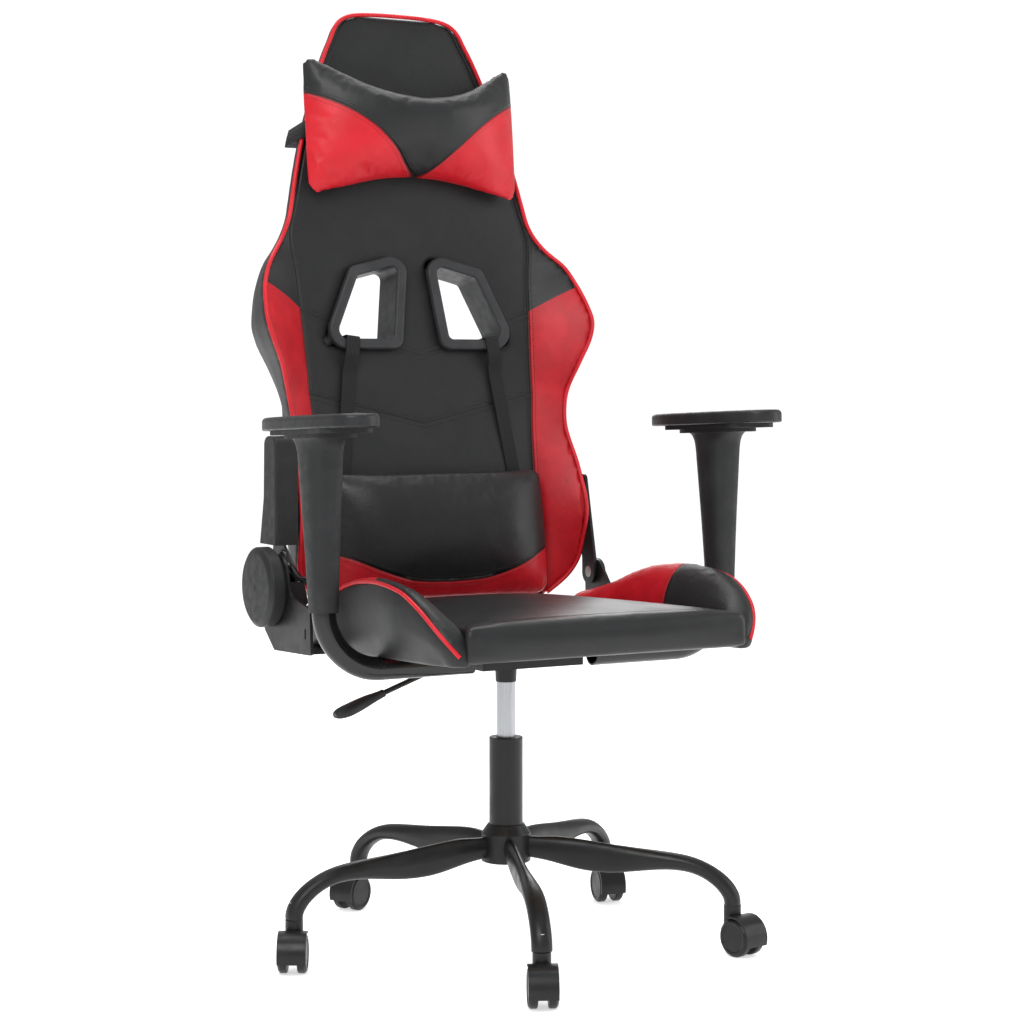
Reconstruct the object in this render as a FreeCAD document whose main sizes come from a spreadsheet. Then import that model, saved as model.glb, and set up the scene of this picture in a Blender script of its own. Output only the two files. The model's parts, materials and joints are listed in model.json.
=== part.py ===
import FreeCAD, Part
import math
import os

import Sketcher
from FreeCAD import Placement, Rotation, Vector

# Gaming chair on a five-legged swivel base. Millimetres. The origin is on the floor under the gas
# column's axis, +Z is up, the chair faces -Y and +X is the sitter's left.

doc = FreeCAD.newDocument("GamingChair")

# ---------------------------------------------------------------- driving dimensions

DIMENSIONS = {
    # swivel base
    "hub_radius": (33, "outside radius of the base hub"),
    "hub_bottom": (113, "height of the hub's lower face"),
    "hub_height": (38, "height of the hub's cylindrical part"),
    "leg_count": (5, "legs, casters"),
    "leg_reach": (303, "column axis to caster stem axis"),
    "leg_end": (65, "height of the leg's lower end"),
    "leg_angle": (177.5, "direction of the first leg, degrees"),
    "stem_radius": (5.5, "caster stem radius"),
    "stem_length": (46, "caster stem length"),
    # column and gas spring
    "column_radius": (22.5, "outside radius of the column tube"),
    "column_bore": (20, "inside radius of the column tube"),
    "column_top": (277, "height of the column tube's upper end"),
    "column_floor": (4, "thickness of the column tube's closed end"),
    "cylinder_radius": (12.5, "gas spring cylinder radius"),
    "cylinder_bottom": (198, "height of the cylinder's lower end"),
    "cylinder_top": (385, "height of the cylinder's upper end"),
    "rod_radius": (5, "gas spring rod radius"),
    "rod_top": (258, "height of the rod's upper end"),
    "pin_radius": (3, "release pin radius"),
    "running_gap": (0.05, "radial clearance of a running fit"),
    # casters
    "wheel_radius": (25, "caster wheel radius"),
    "wheel_width": (12, "width of one of the twin wheels"),
    "wheel_bore_depth": (10.4, "depth of the wheel's blind bore"),
    "web_width": (12, "width of the caster's middle web"),
    "wheel_gap": (0.5, "side clearance between web and wheel"),
    "caster_trail": (18, "stem axis to wheel axis"),
    "axle_radius": (4, "caster axle radius"),
    "fender_radius": (28.6, "outside radius of the caster's fender"),
    "fender_wall": (2.4, "wall thickness of the fender"),
    "hood_top": (64.5, "height of the caster hood's upper face"),
    # seat
    "seat_height": (405, "height of the seat's underside over the column"),
    "seat_tilt": (2.3, "rise of the seat's front edge, degrees"),
    "seat_half_width": (190, "half the width of the flat seat cushion"),
    "seat_front": (275, "seat's origin to its front edge"),
    "seat_rear": (165, "seat's origin to its rear edge"),
    "cushion_height": (54, "thickness of the seat cushion"),
    "pan_thickness": (12, "thickness of the plywood seat pan"),
    "pan_half_width": (168, "half the width of the seat pan"),
    "plate_thickness": (3, "thickness of the mechanism's top plate"),
    # armrests
    "arm_offset": (296, "middle plane to armrest axis"),
    "arm_setback": (-71, "armrest axis along Y"),
    "arm_tube_radius": (15, "outside radius of the armrest tube"),
    "arm_tube_wall": (2, "wall thickness of the armrest tube"),
    "arm_bend": (76, "radius of the armrest tube's bend"),
    "arm_tube_start": (90, "middle plane to the tube's inner end"),
    "post_bottom": (59, "height of the post's lower end over the seat's underside"),
    "post_top": (281, "height of the post's flange over the seat's underside"),
    "arm_plate": (6, "thickness of the armrest plate"),
    "pad_length": (268, "length of the armrest pad"),
    "pad_width": (84, "width of the armrest pad"),
    "pad_thickness": (17, "thickness of the armrest pad"),
    # recliner
    "pivot_setback": (168, "recline axis along Y"),
    "pivot_height": (479, "height of the recline axis"),
    "back_recline": (9, "angle of the backrest from upright, degrees"),
    "bracket_thickness": (4, "thickness of the brackets' steel"),
    "bracket_plane_left": (233, "middle plane to the left lower bracket"),
    "bracket_plane_right": (262, "middle plane to the right lower bracket"),
    "upper_plane_left": (227, "middle plane to the left upper bracket"),
    "upper_plane_right": (244, "middle plane to the right upper bracket"),
    "shaft_radius": (8, "recline shaft radius"),
    "cap_radius_left": (19, "radius of the hinge's round cover"),
    "cap_radius_right": (53.7, "radius of the recliner's round cover"),
    "shroud_wall": (2.5, "wall thickness of the upper bracket's cover"),
    # backrest
    "panel_front": (32, "recline axis to the backrest's front face"),
    "panel_rear": (80, "recline axis to the backrest's rear face"),
    "frame_bar": (20, "width of the back frame's square tube"),
    "bezel_lip": (15, "width of the ring round a backrest hole"),
    "bezel_depth": (9, "height of that ring over the front face"),
    "strap_width": (20, "width of the lumbar straps"),
    "strap_thickness": (2, "thickness of the straps"),
}

sheet = doc.addObject("Spreadsheet::Sheet", "Dimensions")
for line, (alias, (number, note)) in enumerate(DIMENSIONS.items(), start=1):
    sheet.set(f"A{line}", alias)
    sheet.set(f"B{line}", str(number))
    sheet.set(f"C{line}", note)
    sheet.setAlias(f"B{line}", alias)
doc.recompute()


def size(alias):
    """The number in the sheet's cell with this alias."""
    return float(sheet.get(alias))


# ---------------------------------------------------------------- frames

WORLD = Placement()
SEAT = Placement(Vector(0, 0, size("seat_height")), Rotation(Vector(1, 0, 0), -size("seat_tilt")))
PIVOT = Vector(0, size("pivot_setback"), size("pivot_height"))
BACK = Placement(PIVOT, Rotation(Vector(1, 0, 0), -size("back_recline")))
AT_PIVOT = Placement(PIVOT, Rotation())
Z_TO_X = Rotation(Vector(0, 1, 0), 90)
Z_TO_MINUS_X = Rotation(Vector(0, 1, 0), -90)
Z_TO_Y = Rotation(Vector(1, 0, 0), -90)
SIDES = (("left", 1), ("right", -1))

parts = {}


def keep(label, thing):
    """Registers a finished sub-part under its own name."""
    thing.Label = label
    parts[label] = thing
    return thing


def place(thing, frame=WORLD, at=(0, 0, 0), turn=None):
    """Puts a sub-part into one of the chair's frames."""
    thing.Placement = frame.multiply(Placement(Vector(*at), turn or Rotation()))
    return thing


def bind(thing, **properties):
    """Binds properties to expressions of the sheet's cells, written with bare aliases."""
    for name, expression in properties.items():
        words = [f"Dimensions.{w}" if w in DIMENSIONS else w for w in str(expression).split()]
        thing.setExpression(name, " ".join(words))
    return thing


# ---------------------------------------------------------------- outlines

def inset(corners, distance, least_radius=1.0):
    """A polygon's corners moved inwards by a distance; each corner keeps a smaller radius."""
    count = len(corners)
    area = sum(
        corners[i][0] * corners[(i + 1) % count][1] - corners[(i + 1) % count][0] * corners[i][1]
        for i in range(count)
    )
    side = 1 if area > 0 else -1
    moved = []
    for i in range(count):
        here = Vector(corners[i][0], corners[i][1], 0)
        before = here - Vector(corners[i - 1][0], corners[i - 1][1], 0)
        after = Vector(corners[(i + 1) % count][0], corners[(i + 1) % count][1], 0) - here
        before.normalize()
        after.normalize()
        normal_before = Vector(-before.y, before.x, 0) * side
        normal_after = Vector(-after.y, after.x, 0) * side
        bisector = normal_before + normal_after
        shift = bisector * (2 * distance / bisector.dot(bisector))
        radius = corners[i][2] if len(corners[i]) > 2 else 0
        moved.append((here.x + shift.x, here.y + shift.y, max(radius - distance, least_radius)))
    return moved


def outline(corners):
    """Line and arc edges round a polygon whose corners (u, v, radius) are rounded."""
    count = len(corners)
    stretches = []
    for i, corner in enumerate(corners):
        here = Vector(corner[0], corner[1], 0)
        radius = corner[2] if len(corner) > 2 else 0
        back = Vector(corners[i - 1][0], corners[i - 1][1], 0) - here
        ahead = Vector(corners[(i + 1) % count][0], corners[(i + 1) % count][1], 0) - here
        back.normalize()
        ahead.normalize()
        if radius <= 0:
            stretches.append((here, here, here))
            continue
        half = math.acos(max(-1, min(1, back.dot(ahead)))) / 2
        reach = radius / math.tan(half)
        bisector = back + ahead
        bisector.normalize()
        middle = here + bisector * (radius / math.sin(half) - radius)
        stretches.append((here + back * reach, middle, here + ahead * reach))
    edges = []
    for i, (start, middle, end) in enumerate(stretches):
        if (end - start).Length > 1e-6:
            edges.append(Part.Arc(start, middle, end))
        following = stretches[(i + 1) % count][0]
        if (following - end).Length > 1e-6:
            edges.append(Part.LineSegment(end, following))
    return edges


def wire(corners):
    return Part.Wire([edge.toShape() for edge in outline(corners)])


def rectangle(left, low, right, high, radius=0):
    return [(left, low, radius), (right, low, radius), (right, high, radius), (left, high, radius)]


def mirrored(corners):
    """The same polygon on the other side of the v axis, still counter-clockwise."""
    return [(-corner[0], *corner[1:]) for corner in reversed(corners)]


# ---------------------------------------------------------------- features

def new_body(label):
    return keep(label, doc.addObject("PartDesign::Body", label))


def new_sketch(body, role, loops, offset=0.0):
    """A sketch on one of the body's own origin planes, holding closed outlines."""
    sketch = body.newObject("Sketcher::SketchObject", body.Name + "_sketch")
    plane = next(f for f in body.Origin.OriginFeatures if f.Role == role)
    sketch.AttachmentSupport = [(plane, "")]
    sketch.MapMode = "FlatFace"
    sketch.AttachmentOffset = Placement(Vector(0, 0, offset), Rotation())
    for corners in loops:
        edges = outline(corners)
        first = sketch.GeometryCount
        for edge in edges:
            sketch.addGeometry(edge, False)
        for i, edge in enumerate(edges):
            both = (first + i, first + (i + 1) % len(edges))
            ends = [1 if sketch.getPoint(n, 1).distanceToPoint(edge.EndPoint) < 1e-6 else 2 for n in both]
            sketch.addConstraint(Sketcher.Constraint("Coincident", both[0], ends[0], both[1], ends[1]))
    return sketch


def add_circle(sketch, at, radius):
    """A circle in a sketch, with its radius bound to the sheet."""
    index = sketch.addGeometry(Part.Circle(Vector(at[0], at[1], 0), Vector(0, 0, 1), 1), False)
    number = sketch.addConstraint(Sketcher.Constraint("Radius", index, 1.0))
    bind(sketch, **{f"Constraints[{number}]": radius})
    return sketch


def pad(body, sketch, length, reverse=False):
    feature = body.newObject("PartDesign::Pad", body.Name + "_pad")
    feature.Profile = sketch
    feature.Reversed = reverse
    bind(feature, Length=length)
    body.Tip = feature
    doc.recompute()
    return feature


def pocket(body, sketch, length, reverse=False):
    """A cut of a given depth. It raises if the cut takes nothing away."""
    before = body.Tip.Shape.Volume
    feature = body.newObject("PartDesign::Pocket", body.Name + "_pocket")
    feature.Profile = sketch
    feature.Reversed = reverse
    bind(feature, Length=length)
    body.Tip = feature
    doc.recompute()
    if feature.Shape.Volume > before - 1:
        raise RuntimeError(f"{body.Label}: a pocket cuts nothing, {before:.0f} before")
    return feature


def round_edges(body, radius, chosen):
    """Rounds the edges of the body's tip that the function chosen accepts."""
    tip = body.Tip
    names = [f"Edge{i}" for i, edge in enumerate(tip.Shape.Edges, start=1) if chosen(edge)]
    feature = body.newObject("PartDesign::Fillet", body.Name + "_fillet")
    feature.Base = (tip, names)
    feature.Radius = radius
    body.Tip = feature
    doc.recompute()
    return feature


def at_height(level):
    """Accepts the edges that lie in the local plane z = level."""
    return lambda edge: abs(edge.BoundBox.ZMin - level) < 0.01 and abs(edge.BoundBox.ZMax - level) < 0.01


def turned(label, profile, frame=WORLD, at=(0, 0, 0), turn=None):
    """A body of revolution about its own Z axis. The profile's corners are (radius, height)."""
    body = new_body(label)
    sketch = new_sketch(body, "XZ_Plane", [profile])
    feature = body.newObject("PartDesign::Revolution", body.Name + "_turn")
    feature.Profile = sketch
    feature.ReferenceAxis = (sketch, ["V_Axis"])
    feature.Angle = 360
    body.Tip = feature
    return place(body, frame, at, turn)


def cylinder(name, radius, height, frame=WORLD, at=(0, 0, 0), turn=None):
    thing = doc.addObject("Part::Cylinder", name)
    bind(thing, Radius=radius, Height=height)
    return place(thing, frame, at, turn)


def box(name, length, width, height, frame=WORLD, at=(0, 0, 0)):
    """A block whose size is given by expressions. at is its lowest corner in the frame."""
    thing = doc.addObject("Part::Box", name)
    bind(thing, Length=length, Width=width, Height=height)
    return place(thing, frame, at)


def fused(name, shapes):
    thing = doc.addObject("Part::MultiFuse", name)
    thing.Shapes = shapes
    thing.Refine = True
    return thing


def cut(name, base, tool):
    thing = doc.addObject("Part::Cut", name)
    thing.Base = base
    thing.Tool = tool
    return thing


def group(label, things):
    """Separate solids that share one node."""
    thing = keep(label, doc.addObject("Part::Compound", label))
    thing.Links = things
    return thing


def shaped(label, shape, frame=WORLD):
    """A freeform sub-part, for shapes that sketches and primitives can't make."""
    thing = keep(label, doc.addObject("Part::Feature", label))
    thing.Shape = shape
    thing.Placement = frame.multiply(shape.Placement)
    return thing


def oval(centre, across, along, width, depth, squareness=2.0):
    """A closed smooth curve: an ellipse at squareness 2, nearer a rounded rectangle above it."""
    points = []
    for step in range(16):
        angle = 2 * math.pi * step / 16
        u = math.copysign(abs(math.cos(angle)) ** (2 / squareness), math.cos(angle))
        v = math.copysign(abs(math.sin(angle)) ** (2 / squareness), math.sin(angle))
        points.append(centre + across * (u * width / 2) + along * (v * depth / 2))
    curve = Part.BSplineCurve()
    curve.interpolate(points, PeriodicFlag=True)
    return Part.Wire([curve.toShape()])


def loft(wires, ruled=False):
    return Part.makeLoft(wires, True, ruled)


def hose(stations, sideways, squareness=2.0):
    """A solid through (point, width, depth) stations; width lies along the sideways direction."""
    wires = []
    for i, (point, width, depth) in enumerate(stations):
        ahead = stations[min(i + 1, len(stations) - 1)][0] - stations[max(i - 1, 0)][0]
        ahead.normalize()
        along = ahead.cross(sideways)
        along.normalize()
        wires.append(oval(point, sideways, along, width, depth, squareness))
    return loft(wires)


# ---------------------------------------------------------------- swivel base

HUB_PROFILE = [
    (size("column_radius"), size("hub_bottom")),
    (size("hub_radius"), size("hub_bottom"), 1.5),
    (size("hub_radius"), size("hub_bottom") + size("hub_height"), 2),
    (size("column_radius") + 2, size("hub_bottom") + size("hub_height") + 12, 1),
    (size("column_radius"), size("hub_bottom") + size("hub_height") + 13),
]
turned("base_hub", HUB_PROFILE)

# Each leg is a round tube pinched tall in its first half and bent down to the caster.
# Stations: distance from the column axis, height, width and depth of the section.
LEG_STATIONS = [
    (20, 134.5, 17, 28),
    (60, 131, 17, 34),
    (105, 124, 16, 40.5),
    (160, 120, 18, 35),
    (212, 120, 24, 24.5),
    (252, 114.5, 26, 20.5),
    (281, 100, 26, 20.5),
    (297, 84, 26, 21.5),
    (302.5, 72, 26, 22),
    (303, 65, 26, 22),
]
LEG_ANGLES = [size("leg_angle") + 360 / size("leg_count") * i for i in range(int(size("leg_count")))]
stem_end = size("leg_end") + 22


def leg_shape():
    stations = [(Vector(reach, 0, level), wide, deep) for reach, level, wide, deep in LEG_STATIONS]
    leg = hose(stations, Vector(0, 1, 0), 2.2)
    hub = Part.makeCylinder(size("hub_radius"), 200)
    below = Part.makeBox(200, 200, size("leg_end"), Vector(size("leg_reach") - 100, -100, 0))
    socket = Part.makeCylinder(
        size("stem_radius"), stem_end - size("leg_end"), Vector(size("leg_reach"), 0, size("leg_end"))
    )
    return leg.cut(hub).cut(below).cut(socket)


leg = leg_shape()
legs = []
for angle in LEG_ANGLES:
    turned_leg = leg.copy()
    turned_leg.rotate(Vector(), Vector(0, 0, 1), angle)
    legs.append(turned_leg)
shaped("base_legs", Part.makeCompound(legs))


def on_leg_circle(angle, height):
    """The point on a caster stem's axis at a height."""
    turn = math.radians(angle)
    return (size("leg_reach") * math.cos(turn), size("leg_reach") * math.sin(turn), height)


group(
    "caster_stems",
    [
        cylinder(
            f"stem_{number}", "stem_radius", "stem_length",
            at=on_leg_circle(angle, stem_end - size("stem_length")),
        )
        for number, angle in enumerate(LEG_ANGLES, start=1)
    ],
)

COLUMN_PROFILE = [
    (size("rod_radius") + size("running_gap"), size("hub_bottom")),
    (size("column_radius"), size("hub_bottom")),
    (size("column_radius"), size("column_top")),
    (size("column_bore"), size("column_top")),
    (size("column_bore"), size("hub_bottom") + size("column_floor")),
    (size("rod_radius") + size("running_gap"), size("hub_bottom") + size("column_floor")),
]
turned("column_tube", COLUMN_PROFILE)

bush_bore = size("cylinder_radius") + size("running_gap")
bush_lip = 3
bush_length = 62
turned(
    "column_guide_bush",
    [
        (bush_bore, size("column_top") - bush_length),
        (size("column_bore"), size("column_top") - bush_length),
        (size("column_bore"), size("column_top")),
        (size("column_radius"), size("column_top")),
        (size("column_radius"), size("column_top") + bush_lip, 1),
        (bush_bore, size("column_top") + bush_lip),
    ],
)

bearing_bottom = size("hub_bottom") + size("column_floor")
bearing_top = bearing_bottom + 5
bearing_radius = 14
turned(
    "column_thrust_bearing",
    rectangle(size("rod_radius") + size("running_gap"), bearing_bottom, bearing_radius, bearing_top, 0.8),
)

# ---------------------------------------------------------------- gas spring

collar_bottom = bearing_top + size("running_gap")
collar_top = collar_bottom + 3
collar_radius = 12
turned(
    "gas_spring_rod",
    [
        (0, size("hub_bottom") + 0.5),
        (size("rod_radius"), size("hub_bottom") + 0.5),
        (size("rod_radius"), collar_bottom),
        (collar_radius, collar_bottom),
        (collar_radius, collar_top),
        (size("rod_radius"), collar_top),
        (size("rod_radius"), size("rod_top")),
        (0, size("rod_top")),
    ],
)

pin_bore = size("pin_radius") + size("running_gap")
pin_chamber = size("cylinder_top") - 16
gas_chamber = pin_chamber - 18
turned(
    "gas_spring_cylinder",
    [
        (size("rod_radius") + size("running_gap"), size("cylinder_bottom")),
        (size("cylinder_radius"), size("cylinder_bottom"), 1),
        (size("cylinder_radius"), size("cylinder_top"), 0.5),
        (pin_bore, size("cylinder_top")),
        (pin_bore, pin_chamber),
        (0, pin_chamber),
        (0, gas_chamber),
        (size("rod_radius") + size("running_gap"), gas_chamber),
    ],
)

pin_bottom = pin_chamber + 5
pin_top = size("cylinder_top") + 6
turned("release_pin", rectangle(0, pin_bottom, size("pin_radius"), pin_top))

# ---------------------------------------------------------------- casters

TRAIL_ANGLES = (241, 244, 281, 259, 210)
FENDER_FROM, FENDER_TO = -28, 118
axle_half = size("web_width") / 2 + size("wheel_gap") + size("wheel_bore_depth") - 0.5
hood_half_width = size("web_width") / 2 + size("wheel_gap") + size("wheel_width")


def arc_ring(inner, outer, start, end):
    """A closed ring segment between two radii, as a face in the local YZ plane."""
    def point(radius, angle):
        return Vector(0, -radius * math.cos(math.radians(angle)), radius * math.sin(math.radians(angle)))

    middle = (start + end) / 2
    edges = [
        Part.Arc(point(outer, start), point(outer, middle), point(outer, end)).toShape(),
        Part.LineSegment(point(outer, end), point(inner, end)).toShape(),
        Part.Arc(point(inner, end), point(inner, middle), point(inner, start)).toShape(),
        Part.LineSegment(point(inner, start), point(outer, start)).toShape(),
    ]
    return Part.Face(Part.Wire(edges))


def caster_hood(label, frame):
    """Fender, middle web, stem boss and axle in one moulding. The wheels trail along local -Y."""
    fender = doc.addObject("Part::Feature", label + "_fender")
    inner = size("fender_radius") - size("fender_wall")
    face = arc_ring(inner, size("fender_radius"), FENDER_FROM, FENDER_TO)
    fender.Shape = face.extrude(Vector(2 * hood_half_width, 0, 0))
    place(fender, frame, (-hood_half_width, 0, 0))
    web = cylinder(
        label + "_web", "fender_radius - 1", "web_width", frame, (-size("web_width") / 2, 0, 0), Z_TO_X
    )
    low = box(
        label + "_low", "80", "80", "40", frame, (-40, -40, -40 - 9)
    )
    boss = cylinder(
        label + "_boss", "stem_radius + 6", "hood_top - wheel_radius - 12",
        frame, (0, size("caster_trail"), 12),
    )
    wheel_room = [
        cylinder(
            f"{label}_room{side}", "wheel_radius + 0.9", "wheel_width + 2", frame,
            (side * (size("web_width") / 2), 0, 0), Z_TO_X if side > 0 else Z_TO_MINUS_X,
        )
        for side in (1, -1)
    ]
    axle = cylinder(label + "_axle", "axle_radius", str(2 * axle_half), frame, (-axle_half, 0, 0), Z_TO_X)
    bore = cylinder(
        label + "_bore", "stem_radius + running_gap", "60",
        frame, (0, size("caster_trail"), stem_end - size("stem_length") - size("wheel_radius") - 1),
    )
    solid = fused(label + "_outside", [fender, web, boss])
    trimmed = cut(label + "_trimmed", solid, fused(label + "_rooms", [low, *wheel_room]))
    whole = fused(label + "_whole", [trimmed, axle])
    return keep(label, cut(label, whole, bore))


def caster_wheel(label, frame, side):
    """One wheel of the twin pair, closed on its outer face."""
    start = size("web_width") / 2 + size("wheel_gap")
    width = size("wheel_width")
    bore = size("axle_radius") + size("running_gap")
    radius = size("wheel_radius")
    profile = [
        (bore, 0),
        (radius - 1.5, 0, 1),
        (radius, 1.5, 1),
        (radius, width - 3, 1.5),
        (radius - 3, width, 1.5),
        (radius - 6, width, 0.6),
        (radius - 7, width - 1, 0.4),
        (0, width - 1),
        (0, size("wheel_bore_depth")),
        (bore, size("wheel_bore_depth")),
    ]
    turn = Z_TO_X if side > 0 else Z_TO_MINUS_X
    return turned(label, profile, frame, (side * start, 0, 0), turn)


for number, (angle, trail_angle) in enumerate(zip(LEG_ANGLES, TRAIL_ANGLES), start=1):
    stem = Vector(*on_leg_circle(angle, size("wheel_radius")))
    direction = Vector(math.cos(math.radians(trail_angle)), math.sin(math.radians(trail_angle)), 0)
    caster = Placement(stem + direction * size("caster_trail"), Rotation(Vector(0, 0, 1), trail_angle + 90))
    caster_hood(f"caster_hood_{number}", caster)
    caster_wheel(f"caster_wheel_{number}a", caster, 1)
    caster_wheel(f"caster_wheel_{number}b", caster, -1)

# ---------------------------------------------------------------- seat mechanism and height lever

cup_bottom = 354
housing_bottom = 380
LEVER_PIVOT = Vector(-40, 0, size("cylinder_top") + 9.6)
lever_rod = 3.5
lever_pin = 3

housing = box("housing", "150", "150", "34", at=(-75, -75, housing_bottom))
above = box("above_plate", "400", "400", "60", SEAT, (-200, -200, -size("plate_thickness")))
plate = box("top_plate", "170", "220", "plate_thickness", SEAT, (-85, -110, -size("plate_thickness")))
cup = turned(
    "cup",
    [(0, cup_bottom), (14, cup_bottom, 1), (14.5, 373), (19, 379), (19, housing_bottom + 1), (0, housing_bottom + 1)],
)
del parts["cup"]
lever_room = fused(
    "lever_room",
    [
        box("lever_cavity", "100", "18", "16", at=(-64, -9, 384)),
        box("lever_slot", "20", "12", "18", at=(-80, -6, 382)),
        cylinder("cylinder_seat", "cylinder_radius", "32", at=(0, 0, cup_bottom - 1)),
        cylinder("lever_bore", f"{lever_pin} + running_gap", "30",
                 at=(LEVER_PIVOT.x, -15, LEVER_PIVOT.z), turn=Z_TO_Y),
    ],
)
keep(
    "seat_mechanism",
    cut("seat_mechanism", fused("mechanism", [cut("trimmed_housing", housing, above), plate, cup]), lever_room),
)

LEVER_PATH = [
    Vector(5, 0, LEVER_PIVOT.z),
    Vector(-57, 0, LEVER_PIVOT.z),
    Vector(-200, 0, LEVER_PIVOT.z - 51),
]
inner_arm = cylinder("inner_arm", str(lever_rod), str((LEVER_PATH[0] - LEVER_PATH[1]).Length),
                     at=LEVER_PATH[1], turn=Z_TO_X)
droop = LEVER_PATH[2] - LEVER_PATH[1]
outer_arm = cylinder("outer_arm", str(lever_rod), str(droop.Length),
                     at=LEVER_PATH[1], turn=Rotation(Vector(0, 0, 1), droop))
elbow = doc.addObject("Part::Sphere", "elbow")
elbow.Radius = lever_rod
place(elbow, at=LEVER_PATH[1])
fulcrum = cylinder("fulcrum", str(lever_pin), "28", at=(LEVER_PIVOT.x, -14, LEVER_PIVOT.z), turn=Z_TO_Y)
keep("height_lever_rod", fused("height_lever_rod", [inner_arm, elbow, outer_arm, fulcrum]))

# Grip stations: point, width across and thickness of the paddle.
GRIP_STATIONS = [
    (Vector(-181, 0, 350.4), 11, 10),
    (Vector(-196, 0, 345), 14, 12),
    (Vector(-216, -2, 338), 21, 15),
    (Vector(-236, -5, 331.5), 25, 15),
    (Vector(-248, -7, 328.5), 21, 12),
    (Vector(-254, -8, 327), 12, 7),
]
grip = hose(GRIP_STATIONS, Vector(0, 1, 0), 2.6)
grip_bore = Part.makeCylinder(lever_rod, droop.Length, LEVER_PATH[1], droop)
shaped("height_lever_grip", grip.cut(grip_bore))

# ---------------------------------------------------------------- seat

PAN_FRONT, PAN_REAR = -222, 150
PAN = rectangle(-size("pan_half_width"), PAN_FRONT, size("pan_half_width"), PAN_REAR, 30)
pan = new_body("seat_pan")
pad(pan, new_sketch(pan, "XY_Plane", [PAN]), "pan_thickness")
place(pan, SEAT)

cushion = new_body("seat_cushion")
CUSHION = [
    (-size("seat_half_width"), -size("seat_front"), 12),
    (size("seat_half_width"), -size("seat_front"), 12),
    (size("seat_half_width"), size("seat_rear"), 12),
    (-size("seat_half_width"), size("seat_rear"), 12),
]
pad(cushion, new_sketch(cushion, "XY_Plane", [CUSHION]), "cushion_height")
round_edges(cushion, 11, at_height(size("cushion_height")))
pocket(cushion, new_sketch(cushion, "XY_Plane", [PAN]), "pan_thickness", reverse=True)
place(cushion, SEAT)

# Side bolsters. Stations: position along Y, then the crest's distance from the middle and height.
BOLSTER_STATIONS = [
    (-274, 207, 16),
    (-260, 222, 33),
    (-243, 231, 52),
    (-204, 238, 81),
    (-160, 239, 96),
    (-100, 236, 104),
    (-10, 231, 99),
    (80, 228, 82),
    (165, 225, 58),
]
bolster_inner = size("seat_half_width") + 0.3
bolster_foot = 219


def bolster_section(along, crest, height):
    """A closed polygon across the bolster, from the cushion's side over the crest to its foot."""
    shoulder = min(size("cushion_height") - 8, 0.8 * height)
    points = [
        (bolster_inner, 0), (bolster_inner, shoulder), (crest - 14, height - 3), (crest - 5, height),
        (crest, height - 5), (crest + 1, height / 2), (bolster_foot, 0),
    ]
    return Part.makePolygon([Vector(u, along, v) for u, v in points + points[:1]])


for side, sign in SIDES:
    foam = loft([bolster_section(*station) for station in BOLSTER_STATIONS], ruled=True)
    if sign < 0:
        foam = foam.mirror(Vector(), Vector(1, 0, 0))
    shaped(f"seat_bolster_{side}", foam, SEAT)

# ---------------------------------------------------------------- armrests

tube_drop = size("arm_tube_radius")
LUG_BOLTS = ((105, -26), (135, -26), (105, 26), (135, 26))


def armrest_tube(side, sign):
    """A bent tube under the seat with a welded lug; it rises into the post."""
    body = new_body(f"armrest_tube_{side}")
    run = size("arm_offset") - size("arm_bend") - size("arm_tube_start")
    corner = size("arm_offset") - size("arm_tube_start")
    rise = size("post_bottom") + tube_drop + 120
    spine = body.newObject("Sketcher::SketchObject", body.Name + "_spine")
    plane = next(f for f in body.Origin.OriginFeatures if f.Role == "XZ_Plane")
    spine.AttachmentSupport = [(plane, "")]
    spine.MapMode = "FlatFace"
    bend = size("arm_bend")
    middle = Vector(run + bend * math.sin(math.pi / 4), bend * (1 - math.cos(math.pi / 4)), 0)
    spine.addGeometry(Part.LineSegment(Vector(0, 0, 0), Vector(run, 0, 0)), False)
    spine.addGeometry(Part.Arc(Vector(run, 0, 0), middle, Vector(corner, bend, 0)), False)
    spine.addGeometry(Part.LineSegment(Vector(corner, bend, 0), Vector(corner, rise, 0)), False)
    profile = new_sketch(body, "YZ_Plane", [])
    add_circle(profile, (0, 0), "arm_tube_radius")
    add_circle(profile, (0, 0), "arm_tube_radius - arm_tube_wall")
    pipe = body.newObject("PartDesign::AdditivePipe", body.Name + "_pipe")
    pipe.Profile = profile
    pipe.Spine = (spine, [])
    body.Tip = pipe
    doc.recompute()
    lug = rectangle(0, -38, 60, 38, 8)
    lug_sketch = new_sketch(body, "XY_Plane", [lug], tube_drop - 4)
    for u, v in LUG_BOLTS:
        add_circle(lug_sketch, (u - size("arm_tube_start"), v), "4")
    pad(body, lug_sketch, "4")
    turn = Rotation() if sign > 0 else Rotation(Vector(0, 0, 1), 180)
    return place(body, SEAT, (sign * size("arm_tube_start"), size("arm_setback"), -tube_drop), turn)


# Post stations: height over the seat's underside, width along X and depth along Y.
POST_STATIONS = [
    (59, 34, 37),
    (110, 38, 42),
    (180, 43, 52),
    (240, 48, 62),
    (262, 50, 68),
    (270, 52, 76),
    (276, 56, 92),
]


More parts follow.
